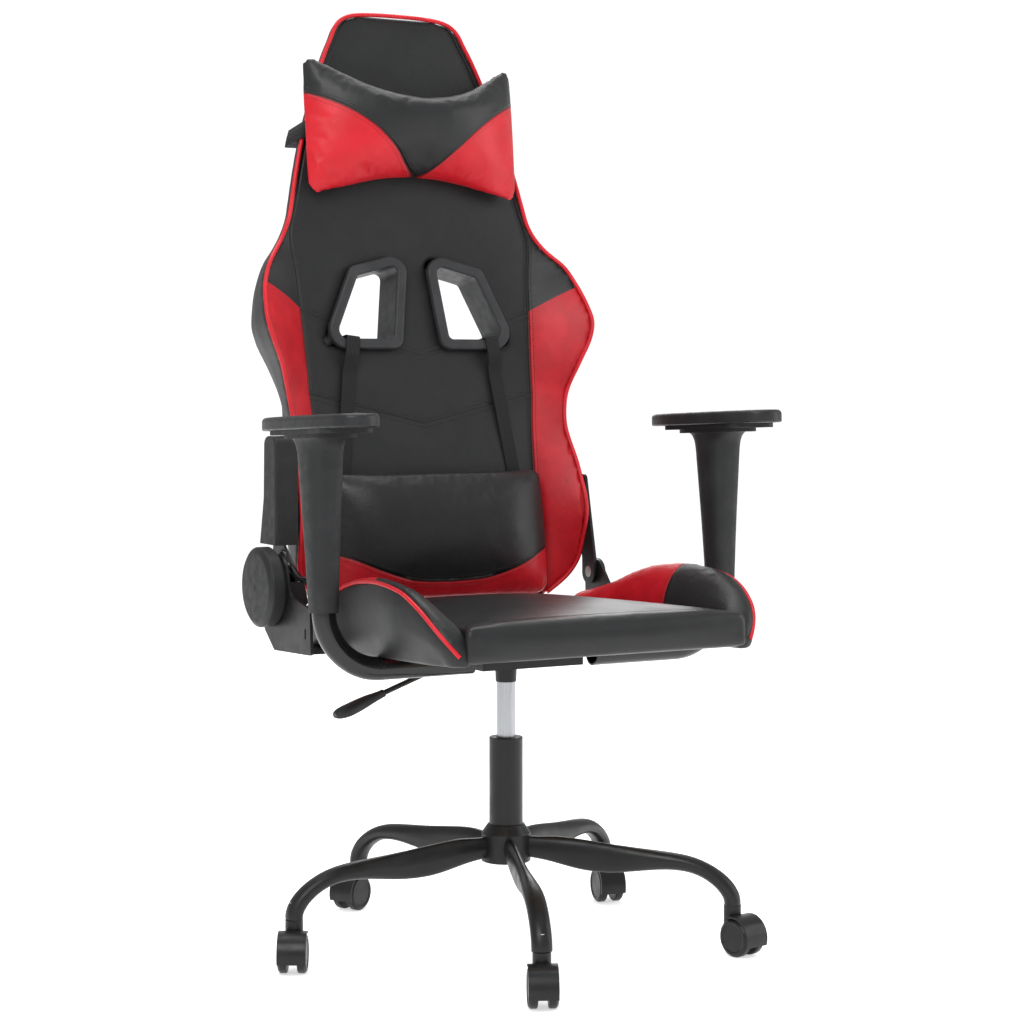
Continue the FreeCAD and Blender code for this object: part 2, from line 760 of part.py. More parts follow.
def armrest_post(side, sign):
    """A moulded sleeve over the tube that widens into a flange under the armrest plate."""
    axis = Vector(sign * size("arm_offset"), size("arm_setback"), 0)
    wires = [
        oval(axis + Vector(0, 0, level), Vector(1, 0, 0), Vector(0, 1, 0), wide, deep, 2.8)
        for level, wide, deep in POST_STATIONS
    ]
    flange_level = POST_STATIONS[-1][0]
    flange = Part.Face(oval(axis + Vector(0, 0, flange_level), Vector(1, 0, 0), Vector(0, 1, 0), 60, 140, 3.2))
    flange = flange.extrude(Vector(0, 0, size("post_top") - flange_level))
    bore = Part.makeCylinder(size("arm_tube_radius"), 120, axis + Vector(0, 0, size("post_bottom")))
    return shaped(f"armrest_post_{side}", loft(wires).fuse(flange).cut(bore).removeSplitter(), SEAT)


def armrest_plate(side, sign):
    body = new_body(f"armrest_plate_{side}")
    shape = rectangle(-35, -92, 35, 92, 18)
    sketch = new_sketch(body, "XY_Plane", [shape])
    pad(body, sketch, "arm_plate")
    return place(body, SEAT, (sign * size("arm_offset"), size("arm_setback") - 2, size("post_top")))


def armrest_pad(side, sign):
    """A soft moulded pad, oval in plan, with a flat top and rounded edges."""
    plan = oval(Vector(), Vector(1, 0, 0), Vector(0, 1, 0), size("pad_width"), size("pad_length"), 2.7)
    block = Part.Face(plan).extrude(Vector(0, 0, size("pad_thickness")))
    top = [e for e in block.Edges if e.BoundBox.ZMin > size("pad_thickness") - 0.1]
    low = [e for e in block.Edges if e.BoundBox.ZMax < 0.1]
    block = block.makeFillet(6, top).makeFillet(2.5, low)
    level = size("post_top") + size("arm_plate")
    frame = SEAT.multiply(Placement(Vector(sign * (size("arm_offset") - 1), size("arm_setback") + 4, level), Rotation()))
    return shaped(f"armrest_pad_{side}", block, frame)


for side, sign in SIDES:
    armrest_tube(side, sign)
    armrest_post(side, sign)
    armrest_plate(side, sign)
    armrest_pad(side, sign)

# ---------------------------------------------------------------- recliner

BACK_BOLT_LEVELS = (76, 122)
BRACKET_BOLT_LINE = 154
bolt_radius = 4
head_radius = 6.5
head_height = 5
BACK_BOLT_LINE = 24
pivot_in_seat = SEAT.inverse().multVec(PIVOT)
gear_radius = 24
gear_plane = 252.9
lug_face = 209


def lower_bracket(side, sign):
    """A steel side plate with a flange under the seat pan. The right one also has a front flange."""
    body = new_body(f"recliner_lower_bracket_{side}")
    py, pz = pivot_in_seat.y, pivot_in_seat.z
    plane = size(f"bracket_plane_{side}")
    foot = [(40, -4, 4), (py - 5, -4, 4)]
    if side == "right":
        plate_shape = foot + [
            (py + 26, 22, 6), (py + 44, pz, 20), (py + 44, pz + 44, 40), (py - 46, pz + 44, 30),
            (py - 60, pz - 10, 20), (40, 56, 12),
        ]
    else:
        plate_shape = foot + [
            (py + 19, 22, 6), (py + 19, pz + 18, 17), (py - 19, pz + 18, 17), (py - 64, 44, 20), (40, 44, 12),
        ]
    steel = size("bracket_thickness")
    sketch = new_sketch(body, "YZ_Plane", [plate_shape, rectangle(54, 16, 58, 30, 1.9)], sign * plane)
    add_circle(sketch, (py, pz), "shaft_radius")
    pad(body, sketch, "bracket_thickness", reverse=sign < 0)
    flange = [(142, 55, 5), (plane + 1, 55), (plane + 1, 155), (142, 155, 5)]
    flange = flange if sign > 0 else mirrored(flange)
    flange_sketch = new_sketch(body, "XY_Plane", [flange], -steel)
    for v in (80, 130):
        add_circle(flange_sketch, (sign * BRACKET_BOLT_LINE, v), str(bolt_radius))
    pad(body, flange_sketch, "bracket_thickness")
    if side == "right":
        front = mirrored([(246, 47, 2), (265, 42), (265, 88), (240, 88, 2), (234, 60, 4)])
        pad(body, new_sketch(body, "XZ_Plane", [front], -120), "bracket_thickness")
    return place(body, SEAT)


def upper_bracket(side, sign):
    """A steel arm from the recline shaft up the side of the backrest."""
    body = new_body(f"recliner_upper_bracket_{side}")
    arm = [(34, 62, 10), (34, 140, 8), (10, 140, 8)]
    if side == "right":
        shape = [(-39, -39, 38), (39, -39, 38), (39, 30, 20), *arm, (10, 62, 10), (-39, 22, 20)]
    else:
        shape = [(-17, -17, 16), (17, -17, 16), (17, 20, 15), *arm, (-17, 20, 15)]
    sketch = new_sketch(body, "YZ_Plane", [shape], sign * size(f"upper_plane_{side}"))
    add_circle(sketch, (0, 0), "shaft_radius + running_gap")
    for level in BACK_BOLT_LEVELS:
        add_circle(sketch, (BACK_BOLT_LINE, level), str(bolt_radius))
    pad(body, sketch, "bracket_thickness", reverse=sign < 0)
    return place(body, AT_PIVOT)


def cap(side, sign):
    """The round moulded cover outside the lower bracket: a deep one over the gear, a low one opposite."""
    start = size(f"bracket_plane_{side}") + size("bracket_thickness")
    radius = size(f"cap_radius_{side}")
    if side == "right":
        profile = [(0, 0), (50, 0), (50, 4), (radius, 4), (radius, 19, 3.5), (radius - 7, 23.5, 8), (0, 24.5)]
    else:
        profile = [(0, 0), (radius, 0), (radius, 9, 3), (0, 10)]
    turn = Z_TO_X if sign > 0 else Z_TO_MINUS_X
    return turned(f"recliner_cap_{side}", profile, AT_PIVOT, (sign * start, 0, 0), turn)


def recline_shaft(side, sign):
    """The shaft through the two brackets. The right one carries the gear disc."""
    start = size(f"upper_plane_{side}")
    end = size(f"bracket_plane_{side}") - start
    radius = size("shaft_radius")
    disc = [(radius, gear_plane - start), (gear_radius, gear_plane - start), (gear_radius, end), (radius, end)]
    profile = [(0, 0), (radius, 0), *(disc if side == "right" else ()),
               (radius, end + size("bracket_thickness")), (0, end + size("bracket_thickness"))]
    turn = Z_TO_X if sign > 0 else Z_TO_MINUS_X
    shaft = turned(f"recline_shaft_{side}", profile, AT_PIVOT, (sign * start, 0, 0), turn)
    del parts[f"recline_shaft_{side}"]
    return shaft


# Side outline of the shroud: (depth, height above the shaft, corner radius).
SHROUD = [(-5, 55), (52, 55), (38, 118, 60), (35, 201, 12), (-5, 201, 12)]
SHROUD_HOLLOW = inset(SHROUD, size("shroud_wall"))
SHROUD_HOLLOW[:2] = [(SHROUD_HOLLOW[0][0], 40), (SHROUD_HOLLOW[1][0] + 3, 40)]
SHROUD_INNER = 228.5
SHROUD_DEPTH = 33


def shroud():
    """The cover over the right upper bracket, open towards the backrest and at its lower end."""
    block = Part.Face(wire(SHROUD)).extrude(Vector(0, 0, SHROUD_DEPTH))
    rim = [e for e in block.Edges if e.BoundBox.ZMin > SHROUD_DEPTH - 0.1 and e.BoundBox.YMax > 56]
    hollow = Part.Face(wire(SHROUD_HOLLOW)).extrude(Vector(0, 0, SHROUD_DEPTH - size("shroud_wall")))
    cover = block.makeFillet(3.5, rim).cut(hollow).mirror(Vector(), Vector(0, 0, 1))
    cover.rotate(Vector(), Vector(1, 1, 1), 120)
    cover.translate(Vector(-SHROUD_INNER, 0, 0))
    return shaped("recliner_shroud_right", cover, AT_PIVOT)


def bolt(name, length, frame, at, turn=None):
    """A bolt with its head below the origin of its own frame and its shank along local +Z."""
    profile = [(0, -head_height), (head_radius, -head_height, 1), (head_radius, 0), (bolt_radius, 0),
               (bolt_radius, length), (0, length)]
    thing = turned(name, profile, frame, at, turn)
    del parts[name]
    return thing


back_bolts = []
shafts = []
for side, sign in SIDES:
    lower_bracket(side, sign)
    upper_bracket(side, sign)
    cap(side, sign)
    shafts.append(recline_shaft(side, sign))
    outside = size(f"upper_plane_{side}") + size("bracket_thickness")
    for number, level in enumerate(BACK_BOLT_LEVELS):
        back_bolts.append(
            bolt(
                f"back_bolt_{side}_{number}", outside - lug_face + 4, AT_PIVOT,
                (sign * outside, BACK_BOLT_LINE, level), Z_TO_MINUS_X if sign > 0 else Z_TO_X,
            )
        )
shroud()
group("recliner_pivots", shafts)
group("back_bolts", back_bolts)

seat_bolts = []
for number, (u, v) in enumerate(((-70, -92), (70, -92), (-70, 92), (70, 92))):
    seat_bolts.append(bolt(f"plate_bolt_{number}", 11, SEAT, (u, v, -size("plate_thickness"))))
for side, sign in SIDES:
    for number, (u, v) in enumerate(LUG_BOLTS):
        at = (sign * u, size("arm_setback") + v, -4)
        seat_bolts.append(bolt(f"lug_bolt_{side}_{number}", 12, SEAT, at))
    for number, v in enumerate((80, 130)):
        seat_bolts.append(bolt(f"bracket_bolt_{side}_{number}", 12, SEAT, (sign * BRACKET_BOLT_LINE, v, -4)))
group("seat_bolts", seat_bolts)

# The recline lever is on the sitter's right: a ring on the shaft, an upright and a bent handle.
ring_plane = size("upper_plane_right") + size("bracket_thickness") + 0.4
ring_width = 4
handle_plane = ring_plane + 6.1
HANDLE = [
    (30, -8, 8, 8),
    (41, -9, 8, 8),
    (46, -13, 8, 8),
    (42, -21, 8, 8),
    (28, -38, 8, 8),
    (19, -60, 8, 9),
    (15, -100, 8, 14),
    (14, -144, 8, 16),
    (14, -151, 6, 11),
]
handle = doc.addObject("Part::Feature", "handle")
handle.Shape = hose(
    [(Vector(-handle_plane, along, level), wide, deep) for level, along, wide, deep in HANDLE],
    Vector(1, 0, 0), 2.4,
)
place(handle, AT_PIVOT)
lever_ring = cylinder("lever_ring", "16", str(ring_width), AT_PIVOT, (-ring_plane, 0, 0), Z_TO_MINUS_X)
upright = box("upright", "6", "8", "26", AT_PIVOT, (-ring_plane - 6, -12, 8))
upright_room = cylinder("upright_room", str(gear_radius + 1.5), "12", AT_PIVOT, (-ring_plane - ring_width, 0, 0),
                        Z_TO_MINUS_X)
lever_hole = cylinder("lever_hole", "shaft_radius + running_gap", "12", AT_PIVOT, (-ring_plane + 1, 0, 0),
                      Z_TO_MINUS_X)
keep(
    "recline_lever",
    cut("recline_lever", fused("lever_body", [lever_ring, upright, handle]),
        fused("lever_holes", [upright_room, lever_hole])),
)

# ---------------------------------------------------------------- backrest

FRAME_OUTSIDE = [
    (-165, -13, 15), (165, -13, 15), (205, 50, 20), (205, 345, 20), (165, 480, 20), (118, 705, 20),
    (72, 785, 20), (-72, 785, 20), (-118, 705, 20), (-165, 480, 20), (-205, 345, 20), (-205, 50, 20),
]
FRAME_WINDOWS = [
    [(-155, 7, 8), (155, 7, 8), (185, 55, 12), (185, 288, 8), (-185, 288, 8), (-185, 55, 12)],
    [(-185, 308, 8), (185, 308, 8), (185, 342, 8), (148, 478, 8), (-148, 478, 8), (-185, 342, 8)],
    [(-143, 498, 8), (143, 498, 8), (99, 700, 10), (62, 765, 10), (-62, 765, 10), (-99, 700, 10)],
]
frame_rear = 65
LUG_LEVELS = (72, 138)
LUG_REACH = (2, 60)

back_frame = new_body("back_frame")
pad(back_frame, new_sketch(back_frame, "XZ_Plane", [FRAME_OUTSIDE, *FRAME_WINDOWS], -frame_rear), "frame_bar")
for sign in (1, -1):
    lug = rectangle(LUG_REACH[0], LUG_LEVELS[0], LUG_REACH[1], LUG_LEVELS[1], 5)
    sketch = new_sketch(back_frame, "YZ_Plane", [lug], sign * (lug_face - 5))
    pad(back_frame, sketch, "5", reverse=sign < 0)
place(back_frame, BACK)

# Ring outline round a backrest hole, on the sitter's left: (across, up, corner radius).
HOLE = [(12, 468, 24), (104, 444, 13), (157, 327, 27), (31, 327, 16)]
bezel_wall = 6
bezel_rear = size("panel_rear") + 3


def back_bezel(side, sign):
    """A moulded ring that lines one of the two holes: front ring, tube and rear ring."""
    body = new_body(f"back_bezel_{side}")
    ring = HOLE if sign > 0 else mirrored(HOLE)
    opening = inset(ring, size("bezel_lip"), 8)
    sleeve = inset(ring, bezel_wall)
    pad(body, new_sketch(body, "XZ_Plane", [ring, opening], -size("panel_front")), "bezel_depth")
    front = size("panel_front") - size("bezel_depth")
    round_edges(
        body, 4,
        lambda e: abs(e.BoundBox.YMin - front) < 0.01 and abs(e.BoundBox.YMax - front) < 0.01,
    )
    pad(body, new_sketch(body, "XZ_Plane", [sleeve, opening], -size("panel_rear")), "panel_rear - panel_front")
    pad(body, new_sketch(body, "XZ_Plane", [ring, opening], -bezel_rear), "3")
    return place(body, BACK)


# Backrest stations: height along the back, half width at the piped edge, depth of that edge and
# half width of the flat middle panel. The wings stand forward of the panel where the edge's depth
# is less than the panel's.
BACK_STATIONS = [
    (-26, 173, 33, 162),
    (-8, 201, 25, 167),
    (14, 218, 14, 168),
    (45, 223, -1, 168),
    (86, 224, -17, 170),
    (150, 222, -8, 171),
    (225, 216, 8, 173),
    (265, 221, 4, 175),
    (303, 236, -12, 177),
    (350, 254, -23, 179),
    (405, 249, -6, 182),
    (448, 231, 10, 185),
    (497, 197, 32, 185),
    (535, 185, 32, 174),
    (613, 166, 32, 154),
    (724, 129, 32, 117),
    (775, 106, 32, 94),
    (792, 98, 32, 86),
    (803, 86, 32, 74),
    (808, 55, 32, 43),
]


def back_section(level, edge, depth, panel):
    front, rear = size("panel_front"), size("panel_rear")
    points = [(edge, depth), (edge, rear), (-edge, rear), (-edge, depth), (-panel, front), (panel, front)]
    return Part.makePolygon([Vector(u, v, level) for u, v in points + points[:1]])


foam = loft([back_section(*station) for station in BACK_STATIONS], ruled=True)
for side, sign in SIDES:
    ring = HOLE if sign > 0 else mirrored(HOLE)
    face = Part.Face(wire(inset(ring, bezel_wall)))
    hole = face.extrude(Vector(0, 0, 200))
    hole.rotate(Vector(), Vector(1, 0, 0), 90)
    hole.translate(Vector(0, 150, 0))
    foam = foam.cut(hole)
    back_bezel(side, sign)
frame_steel = back_frame.Tip.Shape
shaped("back_cushion", foam.cut(frame_steel), BACK)

# ---------------------------------------------------------------- straps and pillows

# Inside line of a lumbar strap seen from the side: (depth, height along the back, corner radius).
LUMBAR_LOOP = [
    (22.0, 343.8, 3), (22.0, 319, 12), (31.6, 296, 20), (31.6, -31, 3), (81.6, -31, 3), (84.2, 324, 40),
    (84.2, 343.8, 3),
]
strap_top = 335
strap_offset = 110
strap_splay = 7.3
buckle_level = 240


def band(corners, width):
    """A closed flat strap round a polygon in the XY plane, standing width high along Z."""
    outer = Part.Face(wire(inset(corners, -size("strap_thickness"))))
    return outer.cut(Part.Face(wire(corners))).extrude(Vector(0, 0, width))


def splayed(shape, sign):
    """Stands a strap piece, drawn in (depth, height), upright at its place on one side."""
    shape.rotate(Vector(), Vector(1, 1, 1), 120)
    shape.translate(Vector(-size("strap_width") / 2, 0, 0))
    shape.rotate(Vector(0, 0, strap_top), Vector(0, 1, 0), -sign * strap_splay)
    shape.translate(Vector(sign * strap_offset, 0, 0))
    return shape


straps = []
buckles = []
for side, sign in SIDES:
    straps.append(splayed(band(LUMBAR_LOOP, size("strap_width")), sign))
    frame_block = Part.makeBox(6.7, 24, 32, Vector(81.2, buckle_level - 12, -6))
    slot = Part.makeBox(2.8, 40, 23, Vector(83.1, buckle_level - 20, -1.5))
    buckles.append(splayed(frame_block.cut(slot), sign))
shaped("lumbar_straps", Part.makeCompound(straps), BACK)
shaped("strap_buckles", Part.makeCompound(buckles), BACK)

HEAD_LOOP = [(-166, 31.6, 3), (166, 31.6, 3), (166, 80.5, 6), (-166, 80.5, 6)]
head_strap_level = 624
head_strap_width = 24
head_band = band(HEAD_LOOP, head_strap_width)
head_band.translate(Vector(0, 0, head_strap_level))
shaped("head_strap", head_band, BACK)


def pillow(label, stations, rear):
    """A stuffed pillow: oval sections across X, all touching one rear plane."""
    wires = [
        oval(Vector(u, rear - thick / 2, level), Vector(0, 1, 0), Vector(0, 0, 1), thick, tall, 2.6)
        for u, level, tall, thick in stations
    ]
    return shaped(label, loft(wires), BACK)


# Pillow stations on one side: distance from the middle, height of the centre, height, thickness.
HEAD_PILLOW = [(0, 622, 104, 84), (60, 629, 124, 80), (115, 638, 158, 58), (158, 640, 148, 22)]
LUMBAR_PILLOW = [(0, 62, 170, 68), (60, 62, 172, 66), (115, 62, 172, 56), (160, 60, 160, 24)]


def both_ways(stations):
    return [(-u, *rest) for u, *rest in reversed(stations[1:])] + stations


pillow("head_pillow", both_ways(HEAD_PILLOW), 27.8)
pillow("lumbar_pillow", both_ways(LUMBAR_PILLOW), 28.4)

# ---------------------------------------------------------------- checks and files

doc.recompute()
for thing in doc.Objects:
    failed = [state for state in thing.State if state in ("Invalid", "Error")]
    if failed:
        raise RuntimeError(f"{thing.Label} is {failed}")
os.makedirs("parts", exist_ok=True)
for label, thing in sorted(parts.items()):
    shape = thing.Shape
    if shape.isNull() or not shape.isValid() or not shape.Solids:
        raise RuntimeError(f"{label} has no valid solid")
for label, thing in sorted(parts.items()):
    thing.Shape.exportStep(f"parts/{label}.step")
    lowest, highest = thing.Shape.BoundBox.ZMin, thing.Shape.BoundBox.ZMax
    print(f"{label:30s} {len(thing.Shape.Solids)} solids, {thing.Shape.Volume / 1000:9.1f} cm3, "
          f"z {lowest:7.1f} to {highest:7.1f}")
print(len(parts), "nodes")
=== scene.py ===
import json
import math

import bmesh
import bpy
import numpy as np
from mathutils import Matrix, Vector


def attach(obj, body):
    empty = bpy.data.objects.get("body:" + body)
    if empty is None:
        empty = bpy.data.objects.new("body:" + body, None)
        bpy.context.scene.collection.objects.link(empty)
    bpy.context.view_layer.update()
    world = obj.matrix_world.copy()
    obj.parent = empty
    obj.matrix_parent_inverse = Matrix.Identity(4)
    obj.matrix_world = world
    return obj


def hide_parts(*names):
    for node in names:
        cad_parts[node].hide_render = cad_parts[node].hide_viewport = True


# The gaming chair's looks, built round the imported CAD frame. Metres; the chair faces -Y, +X is the
# sitter's left. Lengths in the tables below are millimetres in the frame that each table names.

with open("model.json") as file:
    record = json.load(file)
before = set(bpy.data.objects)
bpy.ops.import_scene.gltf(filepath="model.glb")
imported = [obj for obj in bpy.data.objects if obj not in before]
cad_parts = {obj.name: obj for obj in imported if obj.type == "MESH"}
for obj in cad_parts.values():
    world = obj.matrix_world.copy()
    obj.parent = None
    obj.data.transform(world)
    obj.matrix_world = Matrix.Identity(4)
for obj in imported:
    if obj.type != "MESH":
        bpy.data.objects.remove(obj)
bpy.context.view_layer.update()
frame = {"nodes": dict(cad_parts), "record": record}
nodes = frame["nodes"]
scene = bpy.context.scene

SEAT = Matrix.Translation((0, 0, 0.405)) @ Matrix.Rotation(math.radians(-2.3), 4, "X")
BACK = Matrix.Translation((0, 0.168, 0.479)) @ Matrix.Rotation(math.radians(-9), 4, "X")
MM = 0.001

# ---------------------------------------------------------------- numbers along a line


def smooth(keys, values, at):
    """Cubic interpolation of a table, without the table's corners."""
    keys, values = np.asarray(keys, float), np.asarray(values, float)
    at = np.clip(np.asarray(at, float), keys[0], keys[-1])
    slopes = np.gradient(values, keys, axis=0)
    i = np.clip(np.searchsorted(keys, at, side="right") - 1, 0, len(keys) - 2)
    span = keys[i + 1] - keys[i]
    t = (at - keys[i]) / span
    if values.ndim > 1:
        t, span = t[..., None], span[..., None]
    return (
        (1 + 2 * t) * (1 - t) ** 2 * values[i]
        + t * (1 - t) ** 2 * span * slopes[i]
        + t ** 2 * (3 - 2 * t) * values[i + 1]
        + t ** 2 * (t - 1) * span * slopes[i + 1]
    )


def step(low, high, x):
    """0 below low, 1 above high, smooth between."""
    t = np.clip((x - low) / (high - low), 0, 1)
    return t * t * (3 - 2 * t)


# ---------------------------------------------------------------- meshes


def add(name, mesh):
    piece = bpy.data.objects.new(name, mesh)
    scene.collection.objects.link(piece)
    return piece


def positions(mesh):
    out = np.empty(len(mesh.vertices) * 3)
    mesh.vertices.foreach_get("co", out)
    return out.reshape(-1, 3)


def set_positions(mesh, points):
    mesh.vertices.foreach_set("co", np.asarray(points, float).ravel())
    mesh.update()


def closed(name, points, faces):
    """A mesh piece whose faces all look outwards. Points in metres."""
    mesh = bpy.data.meshes.new(name)
    mesh.from_pydata(points, [], faces)
    work = bmesh.new()
    work.from_mesh(mesh)
    bmesh.ops.recalc_face_normals(work, faces=work.faces)
    work.to_mesh(mesh)
    work.free()
    return add(name, mesh)


def rings(name, loops):
    """A closed mesh through loops of points, one row per loop, with flat ends. Millimetres."""
    loops = np.asarray(loops, float) * MM
    count, around, _ = loops.shape
    faces = []
    for row in range(0, (count - 1) * around, around):
        for j in range(around):
            after = (j + 1) % around
            faces.append((row + j, row + after, row + around + after, row + around + j))
    faces.append(tuple(reversed(range(around))))
    faces.append(tuple((count - 1) * around + j for j in range(around)))
    return closed(name, loops.reshape(-1, 3).tolist(), faces)


def baked(piece):
    """Applies every modifier of the piece."""
    graph = bpy.context.evaluated_depsgraph_get()
    mesh = bpy.data.meshes.new_from_object(piece.evaluated_get(graph))
    old = piece.data
    piece.modifiers.clear()
    piece.data = mesh
    bpy.data.meshes.remove(old)
    return piece


def remeshed(piece, voxel):
    change = piece.modifiers.new("even", "REMESH")
    change.mode = "VOXEL"
    change.voxel_size = voxel
    return baked(piece)


def drilled(piece, cutter):
    change = piece.modifiers.new("holes", "BOOLEAN")
    change.operation = "DIFFERENCE"
    change.object = cutter
    change.solver = "EXACT"
    baked(piece)
    bpy.data.objects.remove(cutter)
    return piece


def relaxed(piece):
    change = piece.modifiers.new("relax", "SMOOTH")
    change.factor = 0.5
    change.iterations = 1
    return baked(piece)


def stuffed(piece, pressure, most, held, stiffness=12.0, shrink=0.0):
    """Blows the cover up with air as cloth. held gives each vertex's pin weight; most is in metres."""
    before = positions(piece.data)
    pins = piece.vertex_groups.new(name="held")
    weights = held(before)
    for level in np.unique(np.round(weights, 1)):
        chosen = np.nonzero(np.round(weights, 1) == level)[0].tolist()
        if level > 0 and chosen:
            pins.add(chosen, float(level), "REPLACE")
    cloth = piece.modifiers.new("cloth", "CLOTH")
    rules = cloth.settings
    rules.quality = 5
    rules.mass = 0.25
    rules.tension_stiffness = rules.compression_stiffness = stiffness
    rules.shear_stiffness = stiffness / 2
    rules.bending_stiffness = 0.4
    rules.use_pressure = True
    rules.uniform_pressure_force = pressure
    rules.shrink_min = shrink
    rules.vertex_group_mass = "held"
    rules.effector_weights.gravity = 0
    cloth.collision_settings.use_collision = False
    for number in range(1, 21):
        scene.frame_set(number)
    graph = bpy.context.evaluated_depsgraph_get()
    shape = piece.evaluated_get(graph).to_mesh()
    move = positions(shape) - before
    piece.evaluated_get(graph).to_mesh_clear()
    piece.modifiers.clear()
    scene.frame_set(1)
    length = np.linalg.norm(move, axis=1, keepdims=True)
    set_positions(piece.data, before + move * np.minimum(1, most / np.maximum(length, 1e-9)))
    piece.vertex_groups.clear()
    return piece


def finer(piece):
    change = piece.modifiers.new("finer", "SUBSURF")
    change.levels = change.render_levels = 1
    return baked(piece)


def note(piece, **fields):
    """Stores numbers on the vertices for the material, in metres: distances from seams, and runs."""
    for name, values in fields.items():
        store = piece.data.attributes.new(name, "FLOAT", "POINT")
        store.data.foreach_set("value", np.asarray(values, float))


def finished(piece, material, place, body, *replaced, slot=None):
    """Puts a piece made in a frame's own axes into the chair and gives it its material and body."""
    piece.data.transform(place)
    if hasattr(piece.data, "shade_smooth"):
        piece.data.shade_smooth()
    piece.data.materials.clear()
    piece.data.materials.append(material)
    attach(piece, body)
    if replaced:
        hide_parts(*replaced)
    return piece


def cordage(name, points, radius, material, place, body):
    """Piping: a round bead on a smooth line through the points. Millimetres."""
    line = bpy.data.curves.new(name, "CURVE")
    line.dimensions = "3D"
    line.bevel_depth = radius * MM
    line.bevel_resolution = 3
    line.resolution_u = 6
    line.use_fill_caps = True
    run = line.splines.new("NURBS")
    run.points.add(len(points) - 1)
    for knot, point in zip(run.points, points):
        knot.co = (*(Vector(point) * MM), 1)
    run.order_u = 4
    run.use_endpoint_u = True
    line.transform(place)
    line.materials.append(material)
    piece = bpy.data.objects.new(name, line)
    scene.collection.objects.link(piece)
    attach(piece, body)
    return piece


# ---------------------------------------------------------------- materials


class Shader:
    """A principled material built a few nodes at a time."""

    def __init__(self, name, colour, roughness, metallic=0.0, specular=0.5, coat=0.0, coat_roughness=0.1):
        self.material = bpy.data.materials.new(name)
        self.material.use_nodes = True
        self.tree = self.material.node_tree
        self.main = self.tree.nodes["Principled BSDF"]
        self.set("Base Color", (*colour, 1))
        self.set("Roughness", roughness)
        self.set("Metallic", metallic)
        self.set("Specular IOR Level", specular)
        self.set("Coat Weight", coat)
        self.set("Coat Roughness", coat_roughness)
        self.place = self.node("ShaderNodeTexCoord").outputs["Object"]
        self.height = None

    def set(self, socket, value):
        self.main.inputs[socket].default_value = value

    def node(self, kind, **settings):
        made = self.tree.nodes.new(kind)
        for name, value in settings.items():
            setattr(made, name, value)
        return made

    def link(self, start, end):
        self.tree.links.new(start, end)

    def sum(self, operation, first, second=None):
        """A Math node; each input is a number or an output."""
        made = self.node("ShaderNodeMath", operation=operation)
        for socket, value in zip(made.inputs, (first, second)):
            if value is None:
                continue
            if isinstance(value, (int, float)):
                socket.default_value = value
            else:
                self.link(value, socket)
        return made.outputs[0]

    def ramp(self, value, low, high, start=0.0, end=1.0):
        made = self.node("ShaderNodeMapRange", interpolation_type="SMOOTHSTEP")
        self.link(value, made.inputs["Value"])
        for name, number in (("From Min", low), ("From Max", high), ("To Min", start), ("To Max", end)):
            made.inputs[name].default_value = number
        return made.outputs[0]

    def noise(self, size, detail=3.0, stretch=(1, 1, 1)):
        """Smooth noise whose features are about size millimetres."""
        spread = self.node("ShaderNodeMapping")
        spread.inputs["Scale"].default_value = stretch
        self.link(self.place, spread.inputs["Vector"])
        made = self.node("ShaderNodeTexNoise")
        made.inputs["Scale"].default_value = 1000 / size
        made.inputs["Detail"].default_value = detail
        self.link(spread.outputs[0], made.inputs["Vector"])
        return made.outputs["Fac"]

    def cells(self, size):
        """Distances within cells of about size millimetres."""
        made = self.node("ShaderNodeTexVoronoi", feature="F1")
        made.inputs["Scale"].default_value = 1000 / size
        self.link(self.place, made.inputs["Vector"])
        return made.outputs["Distance"]

    def waves(self, size, direction):
        made = self.node("ShaderNodeTexWave", wave_type="BANDS", bands_direction=direction)
        made.inputs["Scale"].default_value = 1000 / size / 20 * math.pi
        self.link(self.place, made.inputs["Vector"])
        return made.outputs["Fac"]

    def field(self, name):
        """A number stored on the vertices."""
        return self.node("ShaderNodeAttribute", attribute_name=name).outputs["Fac"]

    def tint(self, factor, first, second):
        """A mix of two colours; each is a colour or an output."""
        made = self.node("ShaderNodeMix", data_type="RGBA")
        self.link(factor, made.inputs["Factor"])
        for socket, value in ((made.inputs["A"], first), (made.inputs["B"], second)):
            if isinstance(value, tuple):
                socket.default_value = (*value, 1)
            else:
                self.link(value, socket)
        return made.outputs["Result"]

    def paint(self, output):
        self.link(output, self.main.inputs["Base Color"])
        return self

    def vary_roughness(self, value, low, high):
        self.link(self.ramp(value, 0.3, 0.7, low, high), self.main.inputs["Roughness"])
        return self

    def bump(self, value, depth):
        """Relief of a given depth in millimetres, on top of the relief so far."""
        made = self.node("ShaderNodeBump")
        made.inputs["Strength"].default_value = 1
        made.inputs["Distance"].default_value = depth * MM
        self.link(value, made.inputs["Height"])
        if self.height is not None:
            self.link(self.height, made.inputs["Normal"])
        self.height = made.outputs[0]
        self.link(self.height, self.main.inputs["Normal"])
        return self


BLACK = (0.0155, 0.0160, 0.0165)
BLACK_WORN = (0.0175, 0.0180, 0.0190)
RED = (0.50, 0.010, 0.018)
RED_DEEP = (0.40, 0.006, 0.012)
RED_BRIGHT = (0.56, 0.014, 0.024)


